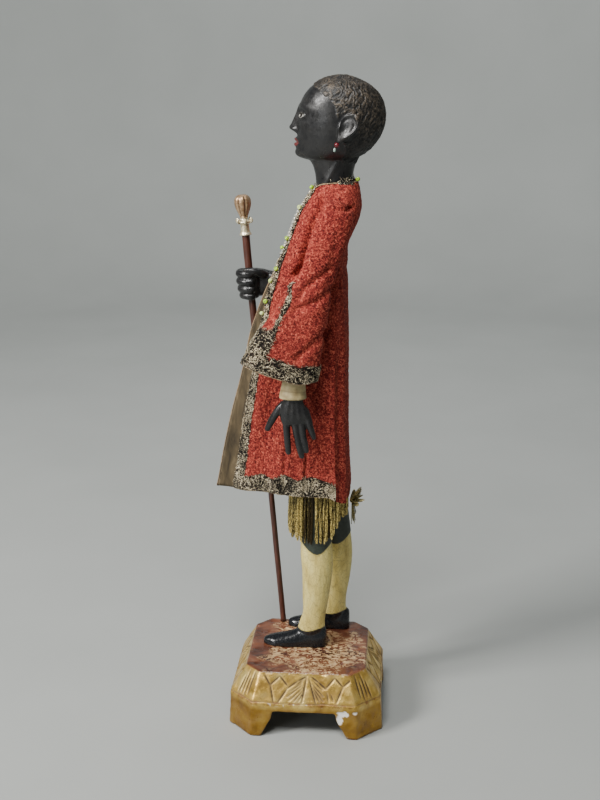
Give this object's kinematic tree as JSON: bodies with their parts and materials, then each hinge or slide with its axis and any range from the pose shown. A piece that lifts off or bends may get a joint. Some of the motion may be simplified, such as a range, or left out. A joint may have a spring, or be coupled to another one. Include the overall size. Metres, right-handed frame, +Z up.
{
  "type": "wooden butler figure",
  "caption": "Carved and painted wooden butler figure in a red cloth coat with metal braid, standing on a gilded plinth with cut corners and holding a tall staff.",
  "frame": {"origin": "on the floor, under the middle of the whole object's box", "axes": "+Z up; the figure faces -Y and its left side is towards +X"},
  "size_m": [0.1244, 0.1242, 0.4511],
  "materials": {
    "gilded_wood": "worn gilding over red bole, marbled painted top",
    "painted_wood": "carved wood with semi-gloss oil paint: black skin, dark green breeches, pale yellow stockings",
    "staff_wood": "red-brown painted rod",
    "knob_metal": "tarnished brass and silvered ferrule",
    "coat_wool": "brick red wool cloth",
    "coat_lining": "olive brown velvet lining",
    "metal_braid": "tarnished metal-thread embroidery",
    "bullion_fringe": "twisted gold bullion cords",
    "tassel_cord": "greenish gilt cord",
    "bead_glass": "opaque yellow-green glass",
    "earring_glass": "red glass bead with a pale drop"
  },
  "bodies": {
    "root": {"plinth": "gilded_wood", "figure": "painted_wood", "staff": "staff_wood", "staff_knob": "knob_metal", "coat": "coat_wool", "fringe_skirt": "bullion_fringe", "back_tassel": "tassel_cord", "earring_left": "earring_glass", "earring_right": "earring_glass", "bead_01": "bead_glass", "bead_02": "bead_glass", "bead_03": "bead_glass", "bead_04": "bead_glass", "bead_05": "bead_glass", "bead_06": "bead_glass", "bead_07": "bead_glass", "bead_08": "bead_glass", "bead_09": "bead_glass"}
  },
  "joints": []
}
